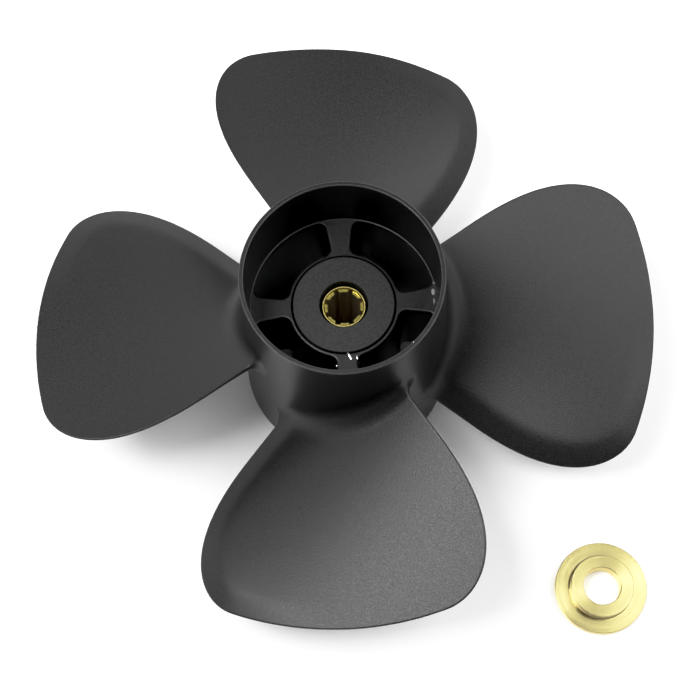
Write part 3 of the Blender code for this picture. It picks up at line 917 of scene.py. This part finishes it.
# The rubber bushing.
# A thick rubber ring is moulded round the brass sleeve and pressed into the hub, where it cushions the drive.
# It stands half a millimetre proud of the hub's chamfer, and its mouth is open down to the sleeve.
bushing_low, bushing_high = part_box("rubber_bushing")
BUSHING_SWELL = 0.12 * MM              # the rubber fills part of the gap that its solid leaves in the hub
BUSHING_RADIUS = bushing_high.x + BUSHING_SWELL
BUSHING_TOP = bushing_high.z
BUSHING_FRONT = bushing_low.z
BUSHING_MOUTH_RADIUS = 9.14 * MM
BUSHING_MOUTH_DEPTH = 6.5 * MM
BUSHING_BORE_RADIUS = 8.34 * MM
BUSHING_ROUNDING = 0.35 * MM
MOUTH_ROUNDING = 0.12 * MM
MOUTH_ROUNDING_STEPS = 3
TOP_FLAT_FROM = 0.5 * MM               # rows that keep the top face flat between its two roundings
TOP_FLAT_UNTIL = 0.9 * MM
SIDE_STRAIGHT_FROM = 2.0 * MM          # and the two walls straight below them
MOUTH_STRAIGHT_FROM = 1.0 * MM
ROUND_STEPS = 160
RUBBER_COLOUR = (0.004, 0.004, 0.0042)
RUBBER_DUST = (0.022, 0.022, 0.022)
RUBBER_SHEEN = 0.38
WELD_GAP = 0.001 * MM


def weld(mesh):
    """Joins the points that two rows share."""
    bm = bmesh.new()
    bm.from_mesh(mesh)
    bmesh.ops.remove_doubles(bm, verts=bm.verts, dist=WELD_GAP)
    bm.to_mesh(mesh)
    bm.free()


def whole_turn(name, profile, centre, finish, sharp_over=50.0):
    """A closed turned piece from a profile that runs down its outer side and back up its inner side."""
    shell = Shell()
    angles = np.arange(ROUND_STEPS) * math.tau / ROUND_STEPS
    rows = []
    for radius, height in profile:
        rows.append(in_space(radius, angles, np.full(ROUND_STEPS, height)) + (*centre, 0.0))
    shell.grid(rows + rows[:1], closed=True)
    piece = in_scene(name, shell.mesh(name))
    weld(piece.data)
    piece.data.materials.append(finish.material)
    return smoothed(piece, sharp_over)


rubber = Finish("Moulded rubber", RUBBER_COLOUR, roughness=0.62, metallic=0.0,
                bump_strength=0.5, bump_depth=0.1 * MM)
rubber_speckle = rubber.grained(size=0.7 * MM, wave=11.0 * MM, wave_share=0.3)
rubber.give("Base Color", ramped(rubber.tree, rubber_speckle, SPECK_STOPS, (RUBBER_COLOUR, RUBBER_DUST)))
rubber.give("Specular IOR Level", RUBBER_SHEEN)

mouth_floor = BUSHING_TOP - BUSHING_MOUTH_DEPTH
outer_centre = (BUSHING_RADIUS - BUSHING_ROUNDING, BUSHING_TOP - BUSHING_ROUNDING)
mouth_centre = (BUSHING_MOUTH_RADIUS + MOUTH_ROUNDING, BUSHING_TOP - MOUTH_ROUNDING)
bushing_profile = arc(outer_centre, BUSHING_ROUNDING, 90.0, 0.0)
bushing_profile += [
    (BUSHING_RADIUS, BUSHING_TOP - SIDE_STRAIGHT_FROM),
    (BUSHING_RADIUS, BUSHING_FRONT),
    (BUSHING_BORE_RADIUS, BUSHING_FRONT),
    (BUSHING_BORE_RADIUS, mouth_floor),
    (BUSHING_MOUTH_RADIUS, mouth_floor),
    (BUSHING_MOUTH_RADIUS, BUSHING_TOP - MOUTH_STRAIGHT_FROM),
]
bushing_profile += arc(mouth_centre, MOUTH_ROUNDING, 180.0, 90.0, MOUTH_ROUNDING_STEPS)
bushing_profile.append((BUSHING_MOUTH_RADIUS + TOP_FLAT_FROM, BUSHING_TOP))
bushing_profile.append((BUSHING_RADIUS - TOP_FLAT_UNTIL, BUSHING_TOP))
bushing = whole_turn("rubber_cushion", bushing_profile, (0.0, 0.0), rubber)
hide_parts("rubber_bushing")
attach(bushing, "root")

# The splined sleeve.
# A brass sleeve bonded into the rubber carries the drive: eight broached teeth fit the splined shaft.  The
# teeth start below a bright chamfer, and the bore below has turned brown.
sleeve_low, sleeve_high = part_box("splined_sleeve")
SLEEVE_RADIUS = sleeve_high.x
SLEEVE_TOP = sleeve_high.z
SLEEVE_FRONT = sleeve_low.z
SPLINE_MAJOR_RADIUS = 7.25 * MM
SPLINE_MINOR_RADIUS = 6.1 * MM
SPLINE_RECESS = 1.0 * MM               # how far the teeth start in from both ends
SLEEVE_OUTER_CHAMFER = 0.1 * MM
SLEEVE_INNER_CHAMFER = 0.4 * MM
TEETH = 8
TOOTH_ROOT_ANGLE = math.radians(31.0)
TOOTH_TIP_ANGLE = math.radians(25.0)
TOOTH_TURN = math.radians(2.5)
TOOTH_CHAMFER = 0.15 * MM
GROOVE_STEPS = 5
CROWN_STEPS = 12
SPLINE_BRASS = (0.92, 0.78, 0.28)
SPLINE_DULL = (0.40, 0.35, 0.10)
BORE_BROWN = (0.66, 0.58, 0.46)
BROWN_BELOW = 0.4 * MM                 # where the brown begins, down from the teeth's upper ends
BRASS_STOPS = (0.0, 0.17, 0.97, 0.99)  # from there up to the sleeve's top: brown, dull, dull and bright

sleeve_sector = Shell()
groove = np.linspace(-math.tau / TEETH / 2, -TOOTH_ROOT_ANGLE / 2, GROOVE_STEPS)
crown = np.linspace(-TOOTH_TIP_ANGLE / 2, TOOTH_TIP_ANGLE / 2, CROWN_STEPS)
sleeve_angles = TOOTH_TURN + np.concatenate([groove, crown, -groove[::-1]])
on_tooth = np.array([0.0] * GROOVE_STEPS + [1.0] * CROWN_STEPS + [0.0] * GROOVE_STEPS)


def sleeve_row(radius, height, tooth=0.0):
    """One row round the sector; tooth is how far the crowns stand in from the bore, from 0 to 1."""
    radii = between(radius, SPLINE_MINOR_RADIUS, on_tooth * tooth)
    return in_space(radii, sleeve_angles, np.full(len(radii), height))


tooth_top = SLEEVE_TOP - SPLINE_RECESS
tooth_front = SLEEVE_FRONT + SPLINE_RECESS
chamfered = 1.0 - TOOTH_CHAMFER / (SPLINE_MAJOR_RADIUS - SPLINE_MINOR_RADIUS)
sleeve_sector.grid([
    sleeve_row(SPLINE_MAJOR_RADIUS + SLEEVE_INNER_CHAMFER, SLEEVE_TOP),
    sleeve_row(SLEEVE_RADIUS - SLEEVE_OUTER_CHAMFER, SLEEVE_TOP),
    sleeve_row(SLEEVE_RADIUS, SLEEVE_TOP - SLEEVE_OUTER_CHAMFER),
    sleeve_row(SLEEVE_RADIUS, SLEEVE_FRONT),
    sleeve_row(SPLINE_MAJOR_RADIUS, SLEEVE_FRONT),
    sleeve_row(SPLINE_MAJOR_RADIUS, tooth_front),
    sleeve_row(SPLINE_MAJOR_RADIUS, tooth_front, chamfered),
    sleeve_row(SPLINE_MAJOR_RADIUS, tooth_front + TOOTH_CHAMFER, 1.0),
    sleeve_row(SPLINE_MAJOR_RADIUS, tooth_top - TOOTH_CHAMFER, 1.0),
    sleeve_row(SPLINE_MAJOR_RADIUS, tooth_top, chamfered),
    sleeve_row(SPLINE_MAJOR_RADIUS, tooth_top),
    sleeve_row(SPLINE_MAJOR_RADIUS, SLEEVE_TOP - SLEEVE_INNER_CHAMFER),
    sleeve_row(SPLINE_MAJOR_RADIUS + SLEEVE_INNER_CHAMFER, SLEEVE_TOP),
])

BROAD_RINGS = 0.13                     # how many broad rings there are for each fine one


def flat_noise(tree, vector, detail=2.0):
    """A flat noise with a grain of one unit."""
    noise = tree.nodes.new("ShaderNodeTexNoise")
    noise.noise_dimensions = "2D"
    noise.inputs["Scale"].default_value = 1.0
    noise.inputs["Detail"].default_value = detail
    tree.links.new(vector, noise.inputs["Vector"])
    return noise.outputs["Fac"]


def turning_rings():
    """The node group for the fine rings a lathe tool leaves round an axis."""
    tree, given, out = node_group(
        "Turning rings", "ShaderNodeTree",
        inputs=(("Place", "Vector", None), ("Ring pitch", "Float", 0.2 * MM), ("Unevenness", "Float", 0.5)),
        outputs=(("Height", "Float"), ("Shade", "Float")))
    radius, height = radius_and_height(tree, given.outputs["Place"])
    ring = combined(tree, "DIVIDE", radius, given.outputs["Ring pitch"])
    along = tree.nodes.new("ShaderNodeCombineXYZ")
    slowly = tree.nodes.new("ShaderNodeCombineXYZ")
    tree.links.new(ring, along.inputs["X"])
    tree.links.new(height, along.inputs["Y"])
    tree.links.new(combined(tree, "MULTIPLY", ring, BROAD_RINGS), slowly.inputs["X"])
    fine = flat_noise(tree, along.outputs["Vector"], detail=1.0)
    broad = flat_noise(tree, slowly.outputs["Vector"])
    shade = blended(tree, given.outputs["Unevenness"], fine, broad, "FLOAT")
    tree.links.new(fine, out.inputs["Height"])
    tree.links.new(shade, out.inputs["Shade"])
    return tree


rings_tree = turning_rings()


def ringed(finish, centre, pitch):
    """Puts the tool's rings into a finish's bump, and gives their shade and the place from their centre."""
    middle = finish.tree.nodes.new("ShaderNodeMapping")
    middle.vector_type = "TEXTURE"
    middle.inputs["Location"].default_value = (*centre, 0.0)
    rings = finish.tree.nodes.new("ShaderNodeGroup")
    rings.node_tree = rings_tree
    rings.inputs["Ring pitch"].default_value = pitch
    finish.tree.links.new(finish.place, middle.inputs["Vector"])
    finish.tree.links.new(middle.outputs["Vector"], rings.inputs["Place"])
    finish.tree.links.new(rings.outputs["Height"], finish.height)
    return rings.outputs["Shade"], middle.outputs["Vector"]


sleeve_brass = Finish("Spline brass", SPLINE_BRASS, roughness=0.34, metallic=1.0,
                      bump_strength=0.25, bump_depth=0.02 * MM)
ringed(sleeve_brass, (0.0, 0.0), pitch=0.12 * MM)
height_split = sleeve_brass.tree.nodes.new("ShaderNodeSeparateXYZ")
sleeve_brass.tree.links.new(sleeve_brass.place, height_split.inputs["Vector"])
upward = mapped(sleeve_brass.tree, height_split.outputs["Z"], (tooth_top - BROWN_BELOW, SLEEVE_TOP))
brass_tints = (BORE_BROWN, SPLINE_DULL, SPLINE_DULL, SPLINE_BRASS)
sleeve_brass.give("Base Color", ramped(sleeve_brass.tree, upward, BRASS_STOPS, brass_tints))

sleeve = repeated("brass_spline_sleeve", sleeve_sector.mesh("brass_sleeve_sector"), TEETH, sleeve_brass,
                  sharp_over=30.0)
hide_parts("splined_sleeve")
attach(sleeve, "root")

# The thrust washer.
# A stepped brass ring, turned all over on a lathe, takes the propeller's push on the shaft.  It lies loose on
# the floor with its boss up; the tool's rings spread each light into bright fans.
washer_low, washer_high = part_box("thrust_washer")
WASHER_CENTRE = ((washer_low.x + washer_high.x) / 2, (washer_low.y + washer_high.y) / 2)
WASHER_RADIUS = (washer_high.x - washer_low.x) / 2
WASHER_HEIGHT = washer_high.z
WASHER_BOSS_RADIUS = 12.1 * MM
WASHER_HOLE_RADIUS = 7.2 * MM
WASHER_FLANGE = 3.5 * MM
WASHER_EDGE = 0.22 * MM                # rounding of its edges
WASHER_SUPPORT = 0.08 * MM             # rows that keep the faces flat beside them
EDGE_ARC_STEPS = 4
# The level faces' brass is a dimmed copy; the upright walls get a lighter copy of the same brass
WASHER_BRASS = (0.44, 0.395, 0.205)
WASHER_SHADE = (0.37, 0.33, 0.155)
SHADE_STOPS = (0.3, 0.7)
# dark brown painted on the rounded edges as shade along the washer's outlines
PAINTED_EDGE_SHADE = (0.16, 0.10, 0.045)
# lighter brass painted on the upright walls: painted light on the hole's wall and the boss's side
LIT_WALL_BRASS = (0.80, 0.70, 0.38)
FACE_ROUGHNESS = 0.19
WALL_ROUGHNESS = 0.45
WASHER_STRETCH = 0.9                   # how far the turned rings draw a highlight out across them
OFF_WALL_SPAN = (0.1, 0.4)             # of the normal's height: from upright wall to anything else
OFF_FLAT_SPAN = (0.99, 0.9)            # and from level face to anything else


def rounded_ring(corners, rounding, support):
    """A closed profile of a turned ring: each corner rounded off, with a row close by on both sides."""
    profile = []
    count = len(corners)
    for index, here in enumerate(corners):
        here = np.array(here)
        before = np.array(corners[index - 1]) - here
        after = np.array(corners[(index + 1) % count]) - here
        before = before / np.linalg.norm(before)
        after = after / np.linalg.norm(after)
        middle = here + rounding * (before + after)
        profile.append(tuple(here + (rounding + support) * before))
        for turn in np.radians(np.linspace(0.0, 90.0, EDGE_ARC_STEPS)):
            profile.append(tuple(middle - rounding * (after * math.cos(turn) + before * math.sin(turn))))
        profile.append(tuple(here + (rounding + support) * after))
    return profile


washer_profile = rounded_ring([
    (WASHER_HOLE_RADIUS, WASHER_HEIGHT),
    (WASHER_BOSS_RADIUS, WASHER_HEIGHT),
    (WASHER_BOSS_RADIUS, WASHER_FLANGE),
    (WASHER_RADIUS, WASHER_FLANGE),
    (WASHER_RADIUS, 0.0),
    (WASHER_HOLE_RADIUS, 0.0),
], WASHER_EDGE, WASHER_SUPPORT)


def walls_and_edges(tree):
    """Two shares: 0 on the upright walls and 1 elsewhere, and 1 on the rounded edges of the level faces."""
    surface = tree.nodes.new("ShaderNodeNewGeometry")
    apart = tree.nodes.new("ShaderNodeSeparateXYZ")
    tree.links.new(surface.outputs["Normal"], apart.inputs["Vector"])
    off_walls = mapped(tree, apart.outputs["Z"], OFF_WALL_SPAN)
    off_flats = mapped(tree, apart.outputs["Z"], OFF_FLAT_SPAN)
    return off_walls, combined(tree, "MULTIPLY", off_walls, off_flats)


def across_the_rings(tree, place):
    """The direction in the surface that runs square across the tool's rings."""
    upward = tree.nodes.new("ShaderNodeCombineXYZ")
    upward.inputs["Z"].default_value = 1.0
    surface = tree.nodes.new("ShaderNodeNewGeometry")
    direction = upward.outputs["Vector"]
    for second in (place, surface.outputs["Normal"]):
        product = tree.nodes.new("ShaderNodeVectorMath")
        product.operation = "CROSS_PRODUCT"
        tree.links.new(direction, product.inputs[0])
        tree.links.new(second, product.inputs[1])
        unit = tree.nodes.new("ShaderNodeVectorMath")
        unit.operation = "NORMALIZE"
        tree.links.new(product.outputs["Vector"], unit.inputs[0])
        direction = unit.outputs["Vector"]
    return direction


washer_brass = Finish("Turned brass", WASHER_BRASS, roughness=FACE_ROUGHNESS, metallic=1.0,
                      bump_strength=0.5, bump_depth=0.04 * MM)
ring_shade, from_centre = ringed(washer_brass, WASHER_CENTRE, pitch=0.16 * MM)
off_walls, edge_shade_share = walls_and_edges(washer_brass.tree)
face_tint = ramped(washer_brass.tree, ring_shade, SHADE_STOPS, (WASHER_SHADE, WASHER_BRASS))
# The upright walls take a lighter brass than the dimmed level faces: one brass in a lit and a shaded copy,
# painted light.
washer_tint = blended(washer_brass.tree, off_walls, (*LIT_WALL_BRASS, 1.0), face_tint, "RGBA")
# Dark brown on the rounded edges is painted shade that darkens the washer's outlines.
washer_tint = blended(washer_brass.tree, edge_shade_share, washer_tint, (*PAINTED_EDGE_SHADE, 1.0), "RGBA")
washer_brass.give("Base Color", washer_tint)
washer_brass.give("Roughness", blended(washer_brass.tree, off_walls, WALL_ROUGHNESS, FACE_ROUGHNESS, "FLOAT"))
washer_brass.give("Tangent", across_the_rings(washer_brass.tree, from_centre))
washer_brass.give("Anisotropic", WASHER_STRETCH)

washer = whole_turn("turned_thrust_washer", washer_profile, WASHER_CENTRE, washer_brass, sharp_over=35.0)
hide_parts("thrust_washer")
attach(washer, "root")

# Floor, lights and camera.
# The propeller and the washer stand on a plain white sweep, between pale walls, under two large softboxes
# and a small one.  The camera looks steeply down on them from a little in front.
FLOOR_SIZE = 30.0
FLOOR_COLOUR = (0.92, 0.92, 0.92)
# Azimuth and angle from straight up in degrees, side in metres and power in watts
SOFTBOXES = {
    "left_softbox": (192.0, 22.5, 0.46, 12.2),
    "right_softbox": (2.0, 31.0, 0.72, 7.8),
    "fill_softbox": (308.0, 19.0, 0.36, 0.6),
}
LIGHT_TARGET = Vector((0.0, 0.0, 0.04))
LIGHT_DISTANCE = 1.2
WALL_LIGHT = 1.4
OVERHEAD_LIGHT = 0.12
LOW_WALL_TOP = (0.55, 0.38)            # spans of the view's direction, from dark to pale
LOW_WALL_GAP = (-0.8, -0.35)
BACK_WALL_TOP = (0.85, 0.62)
BACK_WALL_SIDES = (-0.1, 0.35)
BLACK_LEVEL = 0.004
TONES = ((0.14, 0.14), (0.28, 0.28), (0.45, 0.5), (0.62, 0.72), (0.85, 0.93))
CAMERA_PLACE = Vector((11.31, -213.57, 615.67)) * MM
CAMERA_AIM = Vector((1.27, 4.79, 0.0)) * MM
CAMERA_LENS = 82.0                     # millimetres, as the sensor's width
SENSOR_WIDTH = 36.0
NEAREST, FARTHEST = 0.05, 50.0

half = FLOOR_SIZE / 2
floor_shell = Shell()
floor_shell.grid([[(x, y, 0.0) for x in (-half, half)] for y in (half, -half)])
floor = in_scene("floor", floor_shell.mesh("floor"))
floor_paint = Finish("White sweep", FLOOR_COLOUR, roughness=0.8, metallic=0.0,
                     bump_strength=0.02, bump_depth=0.5 * MM)
floor_paint.grained(size=10.0 * MM, wave=300.0 * MM, wave_share=0.5)
floor.data.materials.append(floor_paint.material)
floor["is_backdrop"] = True


def towards(azimuth, zenith, distance):
    """The place that lies at a distance from the origin, at two angles in degrees."""
    turn, tilt = math.radians(azimuth), math.radians(zenith)
    return Vector((distance * math.sin(tilt) * math.cos(turn), distance * math.sin(tilt) * math.sin(turn),
                   distance * math.cos(tilt)))


for name, (azimuth, zenith, side, power) in SOFTBOXES.items():
    light = bpy.data.lights.new(name, "AREA")
    light.shape = "SQUARE"
    light.size = side
    light.energy = power
    softbox = in_scene(name, light)
    softbox.location = towards(azimuth, zenith, LIGHT_DISTANCE)
    softbox.rotation_euler = (LIGHT_TARGET - softbox.location).to_track_quat("-Z", "Y").to_euler()


def studio_walls(tree):
    """Pale walls round the table: low ones all round but behind the camera, and a tall one at the back."""
    where = tree.nodes.new("ShaderNodeTexCoord")
    apart = tree.nodes.new("ShaderNodeSeparateXYZ")
    tree.links.new(where.outputs["Generated"], apart.inputs["Vector"])
    walls = []
    for top, sides in ((LOW_WALL_TOP, LOW_WALL_GAP), (BACK_WALL_TOP, BACK_WALL_SIDES)):
        below_top = mapped(tree, apart.outputs["Z"], top, smooth=True)
        between_sides = mapped(tree, apart.outputs["Y"], sides, smooth=True)
        walls.append(combined(tree, "MULTIPLY", below_top, between_sides))
    pale = combined(tree, "MULTIPLY", combined(tree, "MAXIMUM", *walls), WALL_LIGHT)
    return combined(tree, "ADD", pale, OVERHEAD_LIGHT)


world = bpy.data.worlds.new("Studio")
world.use_nodes = True
background = world.node_tree.nodes["Background"]
background.inputs["Color"].default_value = (1.0, 1.0, 1.0, 1.0)
world.node_tree.links.new(studio_walls(world.node_tree), background.inputs["Strength"])
bpy.context.scene.world = world
view = bpy.context.scene.view_settings
view.view_transform = "Standard"
view.use_curve_mapping = True
view.curve_mapping.black_level = (BLACK_LEVEL, BLACK_LEVEL, BLACK_LEVEL)
for tone in TONES:
    view.curve_mapping.curves[3].points.new(*tone)
view.curve_mapping.update()

camera_data = bpy.data.cameras.new("camera")
camera_data.lens = CAMERA_LENS
camera_data.sensor_width = SENSOR_WIDTH
camera_data.clip_start = NEAREST
camera_data.clip_end = FARTHEST
camera = in_scene("camera", camera_data)
camera.location = CAMERA_PLACE
ahead = (CAMERA_AIM - CAMERA_PLACE).normalized()
rightward = ahead.cross(Vector((0.0, 1.0, 0.0))).normalized()
camera.rotation_euler = Matrix((rightward, rightward.cross(ahead), -ahead)).transposed().to_euler()
bpy.context.scene.camera = camera

low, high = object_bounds()
